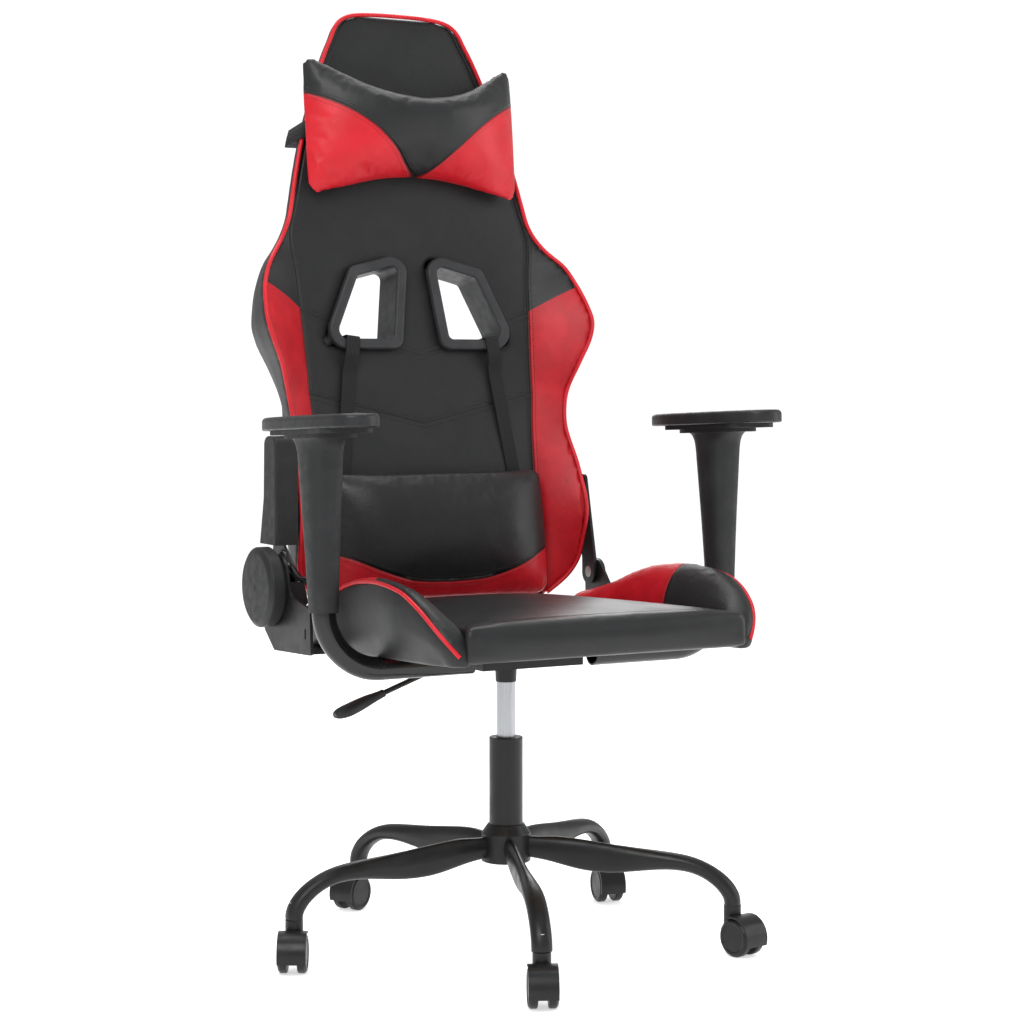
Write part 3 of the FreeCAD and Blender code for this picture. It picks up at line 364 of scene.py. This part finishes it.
def leather(name, colours=(BLACK, BLACK_WORN), second=None, seams=(), roughness=0.42):
    """Coated leather: pebbled grain, soft folds, sewn grooves darkened with painted shade, and top stitching
    beside them.
    """
    skin = Shader(name, colours[0], roughness, specular=0.26, coat=0.03, coat_roughness=0.35)
    patchy = skin.ramp(skin.noise(38, 4), 0.35, 0.7)
    colour = skin.tint(patchy, colours[0], colours[1])
    if second:
        zone = skin.ramp(skin.field("zone"), -0.0006, 0.0006)
        colour = skin.tint(zone, colour, skin.tint(patchy, second[0], second[1]))
    skin.bump(skin.cells(1.5), -0.10).bump(skin.noise(26, 2), 0.5)
    for seam in seams:
        away = skin.sum("ABSOLUTE", skin.field(seam))
        groove = skin.ramp(away, 0.0004, 0.0030, 0.55 if seam == "chevron" else 1.0, 0.0)
        # Painted shade: the colour darkens towards near black inside each seam's groove, on top of the
        # groove's bump relief.
        colour = skin.tint(skin.sum("MULTIPLY", groove, 0.72), colour, (0.006, 0.006, 0.006))
        skin.bump(groove, -1.6)
        off_line = skin.sum("ABSOLUTE", skin.sum("SUBTRACT", away, 0.0055))
        beside = skin.ramp(off_line, 0.0003, 0.0007, 1.0, 0.0)
        dash = skin.sum("PINGPONG", skin.field("run"), 0.0022)
        stitch = skin.sum("MULTIPLY", beside, skin.ramp(dash, 0.0006, 0.0010))
        skin.bump(stitch, 0.45)
        colour = skin.tint(skin.sum("MULTIPLY", stitch, 0.35), colour, (0.010, 0.010, 0.010))
    skin.paint(colour)
    skin.vary_roughness(skin.noise(60, 3), roughness - 0.02, roughness + 0.04)
    return skin.material


def plastic(name, colour, roughness, grain=0.7, depth=0.03, coat=0.0):
    """Moulded plastic with a spark-eroded texture and faint handling marks."""
    shell = Shader(name, colour, roughness, specular=0.26, coat=coat, coat_roughness=0.12)
    lighter = tuple(min(1, c * 1.25 + 0.002) for c in colour)
    shell.paint(shell.tint(shell.ramp(shell.noise(30, 4), 0.4, 0.75), colour, lighter))
    shell.vary_roughness(shell.noise(12, 5), roughness - 0.06, roughness + 0.08)
    shell.bump(shell.noise(grain, 2), depth)
    return shell.material


def coated_steel(name, colour, roughness, peel=0.05, coat=0.0):
    """Painted steel: orange peel, slight colour change, and a duller film in places."""
    paint = Shader(name, colour, roughness, specular=0.3, coat=coat, coat_roughness=0.05)
    lighter = tuple(c * 1.3 + 0.001 for c in colour)
    paint.paint(paint.tint(paint.ramp(paint.noise(50, 3), 0.4, 0.7), colour, lighter))
    paint.vary_roughness(paint.noise(25, 4), roughness - 0.05, roughness + 0.08)
    paint.bump(paint.noise(2.2, 2), peel)
    return paint.material


def metal(name, colour, roughness, stretch):
    """Bare metal with fine drawn lines along one direction."""
    steel = Shader(name, colour, roughness, metallic=1.0)
    lines = steel.noise(1.2, 3, stretch)
    darker = tuple(c * 0.82 for c in colour)
    steel.paint(steel.tint(steel.ramp(lines, 0.35, 0.65), darker, colour))
    steel.vary_roughness(lines, roughness - 0.06, roughness + 0.08)
    steel.bump(lines, 0.02)
    return steel.material


def webbing(name, colour):
    """Woven tape: ribs across it and yarns along it."""
    tape = Shader(name, colour, 0.82, specular=0.25)
    weave = tape.sum("MULTIPLY", tape.waves(1.6, "Z"), tape.waves(1.1, "X"))
    lighter = tuple(c * 1.9 for c in colour)
    tape.paint(tape.tint(weave, colour, lighter))
    tape.bump(weave, 0.25)
    return tape.material


def wood(name):
    board = Shader(name, (0.50, 0.36, 0.22), 0.6, specular=0.3)
    grain = board.noise(5, 5, (1, 0.06, 1))
    board.paint(board.tint(board.ramp(grain, 0.35, 0.7), (0.42, 0.28, 0.16), (0.60, 0.46, 0.30)))
    board.bump(grain, 0.12)
    return board.material


black_leather = leather("black_leather_plain")
red_leather = leather("red_leather_plain", (RED_DEEP, RED))
piping_red = leather("piping_red", (RED, (0.58, 0.016, 0.026)), roughness=0.36)
back_leather = leather("back_leather", second=(RED_DEEP, RED), seams=("seam", "chevron"))
pillow_leather = leather("pillow_leather", second=(RED, RED_BRIGHT), seams=("zone",), roughness=0.36)
seat_leather = leather("seat_leather", roughness=0.36, seams=("seam",))
bolster_leather = leather("bolster_leather", second=(RED_DEEP, RED), seams=("seam",))

FINISHES = {
    "black_steel": coated_steel("black_powder_coat", (0.008, 0.008, 0.0085), 0.36),
    "gloss_black_steel": coated_steel("black_enamel", (0.005, 0.005, 0.0055), 0.22, peel=0.02, coat=0.25),
    "chrome_steel": metal("drawn_chrome", (0.40, 0.41, 0.43), 0.30, (1, 1, 0.03)),
    "bare_steel": metal("zinc_steel", (0.46, 0.47, 0.49), 0.38, (1, 1, 0.2)),
    "black_plastic": plastic("matt_plastic", (0.016, 0.0165, 0.0175), 0.50),
    "satin_plastic": plastic("satin_plastic", (0.009, 0.0092, 0.010), 0.38, grain=1.4, depth=0.02, coat=0.05),
    "strap_fabric": webbing("strap_webbing", (0.012, 0.012, 0.013)),
    "plywood": wood("plywood_board"),
}
FINISHES["black_leather"] = black_leather
FINISHES["red_leather"] = red_leather
bezel_plastic = plastic("bezel_plastic", (0.030, 0.031, 0.033), 0.46)
pad_plastic = plastic("pad_plastic", (0.017, 0.0175, 0.0185), 0.42, grain=1.1, depth=0.04, coat=0.06)

for subpart in frame["record"]["subparts"]:
    node = nodes[subpart["node"]]
    node.data.materials.clear()
    node.data.materials.append(FINISHES[subpart["material_slot"]])
for side in ("left", "right"):
    for name, material in ((f"back_bezel_{side}", bezel_plastic), (f"armrest_pad_{side}", pad_plastic)):
        nodes[name].data.materials.clear()
        nodes[name].data.materials.append(material)

# ---------------------------------------------------------------- backrest cushion

COVER_VOXEL = 0.0055

# Height up the back: half width at the piped edge, depth of that edge, half width of the middle panel.
BACK_LINES = np.array([
    (-31, 168, 34, 158), (-21, 183, 31, 163), (-8, 201, 25, 165), (14, 218, 14, 166), (45, 223, -1, 166),
    (86, 224, -18, 167), (150, 222, -8, 169),
    (225, 215, 9, 172), (265, 221, 6, 175), (303, 235, -12, 176), (342, 252, -23, 178),
    (362, 256, -23, 179), (383, 254, -16, 180), (405, 250, -7, 181), (426, 243, 1, 182),
    (448, 232, 8, 184), (470, 214, 22, 187), (493, 199, 30, 187), (513, 190, 32, 182),
    (534, 185, 32, 176), (574, 176, 32, 166), (613, 166, 32, 156), (670, 148, 32, 138),
    (724, 129, 32, 119), (755, 116, 32, 106), (775, 106, 32, 96), (788, 100, 32, 90),
    (797, 93, 32, 83), (803, 84, 32, 74), (807, 72, 32, 62), (809, 56, 32, 46),
])
PANEL_DEPTH, REAR_DEPTH = 36.0, 79.0
BACK_LOW, BACK_HIGH = -31, 809
# One hole's outline on the sitter's left: across, up.
HOLE = [(12, 468), (104, 444), (157, 327), (31, 327)]


def back_line(column, level):
    """One column of the table at a height up the back."""
    return smooth(BACK_LINES[:, 0], BACK_LINES[:, column], level)


def back_loop(level):
    """Half of the section, from the front's middle round to the rear's middle, then mirrored."""
    edge, depth, panel = (float(back_line(c, level)) for c in (1, 2, 3))
    half = [(panel * t, PANEL_DEPTH) for t in (0, 0.35, 0.7, 1)]
    half += [
        (panel + (edge - 4 - panel) * t, PANEL_DEPTH + (depth + 2 - PANEL_DEPTH) * t ** 0.92)
        for t in (0.2, 0.45, 0.7, 0.9)
    ]
    half += [
        (edge + 0.5, depth + 0.5), (edge + 1, depth + 6), (edge - 4, (depth + REAR_DEPTH) / 2),
        (edge - 13, REAR_DEPTH - 14), (edge - 21, REAR_DEPTH - 4), (edge - 34, REAR_DEPTH),
        (edge * 0.5, REAR_DEPTH),
    ]
    loop = half + [(-u, v) for u, v in reversed(half[1:])]
    return [(u, v, level) for u, v in loop]


def hole_cutter(sign):
    """A block through one hole, a little smaller than the ring's outline."""
    ring = [Vector((u * sign, v)) for u, v in HOLE]
    middle = sum(ring, Vector((0, 0))) / 4
    inner = [middle + (p - middle) * 0.90 for p in ring]
    points = [(p.x * MM, depth * MM, p.y * MM) for depth in (-30, 120) for p in inner]
    sides = [(i, i + 4, (i + 1) % 4 + 4, (i + 1) % 4) for i in range(4)]
    return closed("cutter", points, [(0, 1, 2, 3), (7, 6, 5, 4), *sides])


def hole_distance(x, z):
    """Distance from the nearest hole's outline in millimetres, negative inside."""
    away = np.full(len(x), 1e3)
    for sign in (1, -1):
        inside = np.full(len(x), -1e3)
        for (ax, az), (bx, bz) in zip(HOLE, HOLE[1:] + HOLE[:1]):
            edge = Vector((bx - ax, bz - az)).normalized()
            inside = np.maximum(inside, -((x * sign - ax) * edge.y - (z - az) * edge.x))
        away = np.minimum(away, inside)
    return away


def back_fields(points):
    """Where points are on the backrest, in millimetres.

    x, y, z; signed distances from the panel's seam, the chevron seams, the red zone's edge and the
    piped edge; and whether a point is behind that edge.
    """
    x, y, z = np.abs(points[:, 0]) / MM, points[:, 1] / MM, points[:, 2] / MM
    edge, depth, panel = (back_line(c, z) for c in (1, 2, 3))
    seam = x - panel
    upper, lower = z - (320 + 0.346 * x), z - (222 + 0.244 * x)
    chevron = upper * lower / (np.abs(upper) + np.abs(lower) + 1e-6)
    outside = (edge - x) - 0.6 * (y - depth)
    across_wing = np.clip((x - 179) / 64, 0, 1.2)
    boundary = 384 + 31 * across_wing + 5 * across_wing * (1 - across_wing)
    zone = np.minimum(np.minimum(seam, (boundary - z) * 0.9), outside + 3)
    behind = y > PANEL_DEPTH + 14
    return x, y, z, seam, chevron, zone, outside, behind


def back_held(points):
    """Pins the rear, the edges, the seams and the holes' rims, so that only the panels swell."""
    x, y, z, seam, chevron, zone, outside, behind = back_fields(points)
    held = np.where((outside < 4) | behind | (hole_distance(points[:, 0] / MM, z) < 9), 1.0, 0.0)
    held = np.maximum(held, 1 - step(2, 7, np.abs(seam)))
    held = np.maximum(held, (1 - step(1.5, 5, np.abs(chevron))) * (x < 180) * 0.9)
    return np.maximum(held, (z > BACK_HIGH - 11) | (z < BACK_LOW + 15))


levels = [*np.arange(BACK_LOW, 780, 6.0), *np.arange(780, BACK_HIGH - 1, 3.0), BACK_HIGH]
back = rings("back_cover", [back_loop(level) for level in levels])
for sign in (1, -1):
    drilled(back, hole_cutter(sign))
remeshed(back, COVER_VOXEL)
relaxed(back)
stuffed(back, 4.0, 0.0065, back_held)
finer(back)
x, y, z, seam, chevron, zone, outside, behind = back_fields(positions(back.data))
front = (~behind) & (outside > 2)
note(
    back,
    seam=np.where(front, seam, 99) * MM,
    chevron=np.where(front & (x < back_line(3, z) + 2), chevron, 99) * MM,
    zone=np.where(behind, -99, zone) * MM,
    run=z * MM,
)
finished(back, back_leather, BACK, "backrest", "back_cushion", slot="black_leather")

edge_levels = [*np.arange(BACK_LOW + 6, 770, 9.0), 775, 784, 792, 798, 803, 807, BACK_HIGH]
side_edge = [(float(back_line(1, v)) - 1.8, float(back_line(2, v)) + 0.5, v) for v in edge_levels]
top_edge = [(u, 31.5, BACK_HIGH + 1) for u in (28, 0, -28)]
piping_line = side_edge + top_edge + [(-u, v, w) for u, v, w in reversed(side_edge)]
cordage("back_piping", piping_line, 3.0, piping_red, BACK, "backrest")

# ---------------------------------------------------------------- pillows

# Pillow outlines: across, lower edge, upper edge, greatest thickness there, depth of its middle, and
# how much further back its lower seam and its upper seam lie.
HEAD_LINES = [
    (0, 572, 674, 84, -8, 24, -24), (40, 569, 679, 82, -8, 22, -22), (80, 561, 692, 74, -5, 16, -16),
    (115, 552, 711, 58, 0, 10, -10), (140, 547, 726, 38, 6, 7, -7), (156, 544, 733, 22, 10, 5, -5),
    (164, 549, 727, 8, 13, 4, -4),
]
LUMBAR_LINES = [
    (0, -27, 148, 66, -6, 16, 0), (60, -27, 148, 64, -5, 15, 0), (115, -28, 149, 56, -1, 11, 0),
    (140, -28, 150, 42, 5, 6, 0), (156, -26, 151, 22, 8, 3, 0), (165, -18, 143, 8, 9, 2, 0),
]


UNSTUFFED = 0.8
PILLOW_REAR = 28.5


def pillow(name, lines, across=56, around=44):
    """Two sheets sewn round their edge: oval sections across the pillow, pinched at the seam."""
    lines = np.array(lines, float)
    loops = []
    for u in np.sin(np.linspace(-math.pi / 2, math.pi / 2, across)) * lines[-1, 0]:
        low, high, thick, depth, lean_low, lean_high = smooth(lines[:, 0], lines[:, 1:], abs(u))
        loop = []
        for turn in np.linspace(0, 2 * math.pi, around, endpoint=False):
            c, s = math.cos(turn), math.sin(turn)
            fat = math.copysign(abs(s) ** 0.9, s) * (1 - 0.25 * c ** 8)
            tall = math.copysign(abs(c) ** 0.8, c)
            lean = (lean_high if tall > 0 else lean_low) * abs(tall)
            middle = (low + high) / 2
            loop.append((u, depth + lean - fat * thick / 2 * UNSTUFFED, middle + tall * (high - low) / 2))
        loops.append(loop)
    return rings(name, loops)


def pinched(lines):
    """Pins a pillow's sewn edge and its back, which lies against the chair."""
    lines = np.array(lines, float)

    def held(points):
        x, y, z = np.abs(points[:, 0]) / MM, points[:, 1] / MM, points[:, 2] / MM
        low, high = smooth(lines[:, 0], lines[:, 1], x), smooth(lines[:, 0], lines[:, 2], x)
        rim = np.minimum(np.minimum(z - low, high - z), lines[-1, 0] - x)
        return np.maximum(0.7 * (1 - step(1, 8, rim)), y > 24)

    return held


def sewn_pillow(node, lines, most, shrink, boundary, slope):
    """Stuffs one pillow. boundary is the red zone's edge as (distances across, heights)."""
    piece = pillow(f"{node}_cover", lines)
    remeshed(piece, 0.0045)
    stuffed(piece, 4.5, most, pinched(lines), stiffness=10, shrink=shrink)
    finer(piece)
    spots = positions(piece.data) / MM
    edge = smooth(*boundary, np.abs(spots[:, 0]))
    note(piece, zone=(edge - spots[:, 2]) * slope * MM, run=spots[:, 0] * MM)
    spots[:, 1] = np.minimum(spots[:, 1], PILLOW_REAR)
    set_positions(piece.data, spots * MM)
    finished(piece, pillow_leather, BACK, node, node, slot="black_leather")


HEAD_RED = ([0, 14, 45, 78, 112, 150, 170], [571, 576, 601, 630, 654, 676, 687])
LUMBAR_RED = ([0, 60, 110, 150, 170], [-5, -1, 14, 33, 42])
sewn_pillow("head_pillow", HEAD_LINES, 0.016, -0.008, HEAD_RED, 0.8)
sewn_pillow("lumbar_pillow", LUMBAR_LINES, 0.014, -0.006, LUMBAR_RED, 0.9)

# ---------------------------------------------------------------- head strap


def strap_loop(level, out):
    """A rounded rectangle round the backrest at a level, a little outside its cover."""
    radius = 5
    across = float(back_line(1, level)) + 2.5 + out - radius
    rear, front = 78 + out, 31 - out
    loop = []
    for u, v, start in ((across, rear, 0), (-across, rear, 90), (-across, front, 180), (across, front, 270)):
        for turn in (0, 30, 60, 90):
            angle = math.radians(start + turn)
            loop.append((u + radius * math.cos(angle), v + radius * math.sin(angle), level))
    return loop


STRAP_EDGES = ((624, 0), (624, 1.6), (636, 1.9), (648, 1.6), (648, 0))
strap = rings("head_strap_band", [strap_loop(level, out) for level, out in STRAP_EDGES])
finished(strap, FINISHES["strap_fabric"], BACK, "head_pillow", "head_strap", slot="strap_fabric")

# ---------------------------------------------------------------- seat

FRONT, REAR, HALF, TALL = -275, 165, 189, 54
GROOVE = FRONT + 22


def seat_loop(along):
    """A section across the seat cushion, rounded at its top corners, crowned in the middle."""
    nearer = min(along - FRONT, REAR - along)
    round_by = 12 if along < 0 else 5
    drop = round_by * (1 - math.sqrt(max(0, 1 - (1 - min(nearer, round_by) / round_by) ** 2)))
    crown = 9 * math.sin(math.pi * min(1, max(0, (along - FRONT) / (REAR - FRONT)))) ** 0.6
    low = 1 + (3 if nearer < 4 else 0)
    top = TALL - 5 - drop
    half = HALF + 12 * (1 - step(FRONT + 4, FRONT + 34, along))
    loop = [(-half, low), (0, low), (half, low), (half, low + 15), (half, top - 10), (half - 4, top - 2)]
    for u in (150, 100, 50, 0, -50, -100, -150):
        loop.append((u, top + crown * (1 - (abs(u) / half) ** 2.5)))
    loop += [(-half + 4, top - 2), (-half, top - 10), (-half, low + 15)]
    return [(u, along, v) for u, v in loop]


stations = [FRONT + 0.5, FRONT + 3, FRONT + 7, *np.arange(FRONT + 12, REAR - 8, 10.0), REAR - 4, REAR - 1]
seat = rings("seat_cover", [seat_loop(v) for v in stations])
remeshed(seat, COVER_VOXEL)


def seat_held(points):
    """Pins the seat's foot, its sides beside the bolsters and the sewn channel."""
    x, y, z = np.abs(points[:, 0]) / MM, points[:, 1] / MM, points[:, 2] / MM
    held = 1 - step(3, 10, z)
    held = np.maximum(held, step(HALF - 7, HALF - 3, x))
    groove = np.abs(y - GROOVE)
    return np.maximum(held, (1 - step(1, 5, groove)) * (z > 30) * 0.85)


stuffed(seat, 4.5, 0.009, seat_held, stiffness=10)
finer(seat)
spots = positions(seat.data) / MM
top = spots[:, 2] > 30
ahead = spots[:, 1] - GROOVE
note(seat, seam=np.where(top, ahead, np.where(ahead < 0, -99, 99)) * MM, run=spots[:, 0] * MM)
finished(seat, seat_leather, SEAT, "seat", "seat_cushion", slot="black_leather")

# Bolster stations: along, crest's distance from the middle, crest's height, foot's distance.
BOLSTER_LINES = np.array([
    (-268, 207, 17, 209), (-260, 219, 33, 218), (-243, 229, 53, 222), (-224, 234, 69, 225),
    (-204, 237, 81, 227), (-180, 238, 91, 228), (-150, 238, 97, 228),
    (-110, 236, 101, 228), (-60, 233, 101, 227),
    (-23, 231, 98, 226), (25, 229, 88, 225), (77, 227, 72, 224), (129, 224, 60, 222), (165, 223, 54, 220),
])


def bolster_loop(along, sign):
    """A section across one bolster, from the cushion's side over the crest to the foot."""
    crest, height, foot = smooth(BOLSTER_LINES[:, 0], BOLSTER_LINES[:, 1:], along)
    inner, outer = 191.0, foot
    base = min(40, height * 0.7)
    width, rise = crest - inner, height - base
    half = [
        (inner, -2), (inner, base * 0.5), (inner, base),
        (inner + width * 0.15, base + rise * 0.42), (inner + width * 0.38, base + rise * 0.74),
        (inner + width * 0.62, base + rise * 0.93), (crest - 6, height - 0.5), (crest - 2, height - 1.5),
        (crest, height - 5), (crest + 2, height * 0.72), (crest + 1, height * 0.45), (outer, height * 0.18),
        (outer - 5, -2),
    ]
    return [(u * sign, along, v) for u, v in half]


def bolster_fields(points):
    """Where points are on a bolster: x, y, z, the crest beside them and how far inside it they are."""
    x, y, z = np.abs(points[:, 0]) / MM, points[:, 1] / MM, points[:, 2] / MM
    crest, height = (smooth(BOLSTER_LINES[:, 0], BOLSTER_LINES[:, c], y) for c in (1, 2))
    inside = (crest - 2 - x) - 0.165 * (height - z)
    return x, y, z, crest, height, inside


def bolster_held(points):
    """Pins the crest, the foot and the side that the seat cushion hides."""
    x, y, z, crest, height, inside = bolster_fields(points)
    from_crest = np.hypot(x - crest + 1, z - height + 2)
    held = np.maximum(1 - step(5, 11, from_crest), 1 - step(2, 9, z))
    return np.maximum(held, (x < 194) & (z < 44))


COLOUR_SPLIT = -90
for side, sign in (("left", 1), ("right", -1)):
    rows = [-268, -265, *np.arange(-261, 160, 8.0), 164]
    bolster = rings(f"seat_bolster_cover_{side}", [bolster_loop(v, sign) for v in rows])
    remeshed(bolster, 0.005)
    stuffed(bolster, 4.0, 0.005, bolster_held, stiffness=10)
    finer(bolster)
    x, y, z, crest, height, inside = bolster_fields(positions(bolster.data))
    split = y - COLOUR_SPLIT
    note(
        bolster,
        zone=np.minimum(np.minimum(split * 0.8, inside + 1), 60) * MM,
        seam=np.where(inside > 3, split * 0.8, 99) * MM,
        run=z * MM,
    )
    finished(bolster, bolster_leather, SEAT, "seat", f"seat_bolster_{side}", slot="red_leather")
    runs = [-268, *range(-262, 165, 13)]
    crests = smooth(BOLSTER_LINES[:, 0], BOLSTER_LINES[:, 1:3], runs)
    crest_line = [(sign * (u + 1.8), v, w - 6.5) for v, (u, w) in zip(runs, crests)]
    cordage(f"bolster_piping_{side}", crest_line, 2.6, piping_red, SEAT, "seat")

# ---------------------------------------------------------------- studio


def studio():
    bpy.ops.mesh.primitive_plane_add(size=30)
    floor = bpy.context.object
    floor.name = "studio_floor"
    sheet = Shader("studio_floor", (0.90, 0.90, 0.90), 0.9, specular=0.1)
    sheet.paint(sheet.tint(sheet.noise(900, 2), (0.90, 0.90, 0.90), (0.915, 0.915, 0.915)))
    sheet.set("Emission Color", (1, 1, 1, 1))
    sheet.set("Emission Strength", 0.55)
    floor.data.materials.append(sheet.material)
    bpy.ops.mesh.primitive_uv_sphere_add(radius=14, segments=48, ring_count=24)
    dome = bpy.context.object
    dome.name = "studio_backdrop"
    paper = Shader("studio_backdrop", (0.0, 0.0, 0.0), 1.0, specular=0.0)
    paper.set("Emission Color", (1, 1, 1, 1))
    paper.set("Emission Strength", 1.1)
    dome.data.materials.append(paper.material)
    dome.visible_diffuse = dome.visible_glossy = dome.visible_transmission = dome.visible_shadow = False
    world = scene.world or bpy.data.worlds.new("studio")
    scene.world = world
    world.use_nodes = True
    world.node_tree.nodes["Background"].inputs[0].default_value = (1, 1, 1, 1)
    world.node_tree.nodes["Background"].inputs[1].default_value = 0.55
    for name, place, aim, wide, tall, watts in (
        ("key", (-2.2, -2.4, 3.2), (0, 0, 0.7), 1.8, 2.4, 95),
        ("fill", (3.2, -1.6, 1.6), (0, 0, 0.6), 2.0, 2.6, 40),
        ("top", (0.2, 0.6, 3.4), (0, 0, 0.6), 2.2, 2.2, 60),
        ("rim", (1.6, 2.8, 2.2), (0, 0.1, 0.8), 1.4, 2.2, 30),
    ):
        lamp = bpy.data.lights.new(name, "AREA")
        lamp.shape = "RECTANGLE"
        lamp.size, lamp.size_y, lamp.energy = wide, tall, watts
        holder = bpy.data.objects.new(name, lamp)
        holder.location = place
        holder.rotation_euler = (Vector(aim) - Vector(place)).to_track_quat("-Z", "Y").to_euler()
        scene.collection.objects.link(holder)
    eye = bpy.data.cameras.new("camera")
    eye.lens, eye.sensor_width = 81.4, 36.0
    camera = bpy.data.objects.new("camera", eye)
    camera.location = (-1.4747, -2.6914, 0.763)
    down = math.radians(3.41)
    ahead = Vector((0.4828 * math.cos(down), 0.8757 * math.cos(down), -math.sin(down)))
    camera.rotation_euler = ahead.to_track_quat("-Z", "Y").to_euler()
    scene.collection.objects.link(camera)
    scene.camera = camera
    scene.view_settings.view_transform = "Standard"


studio()
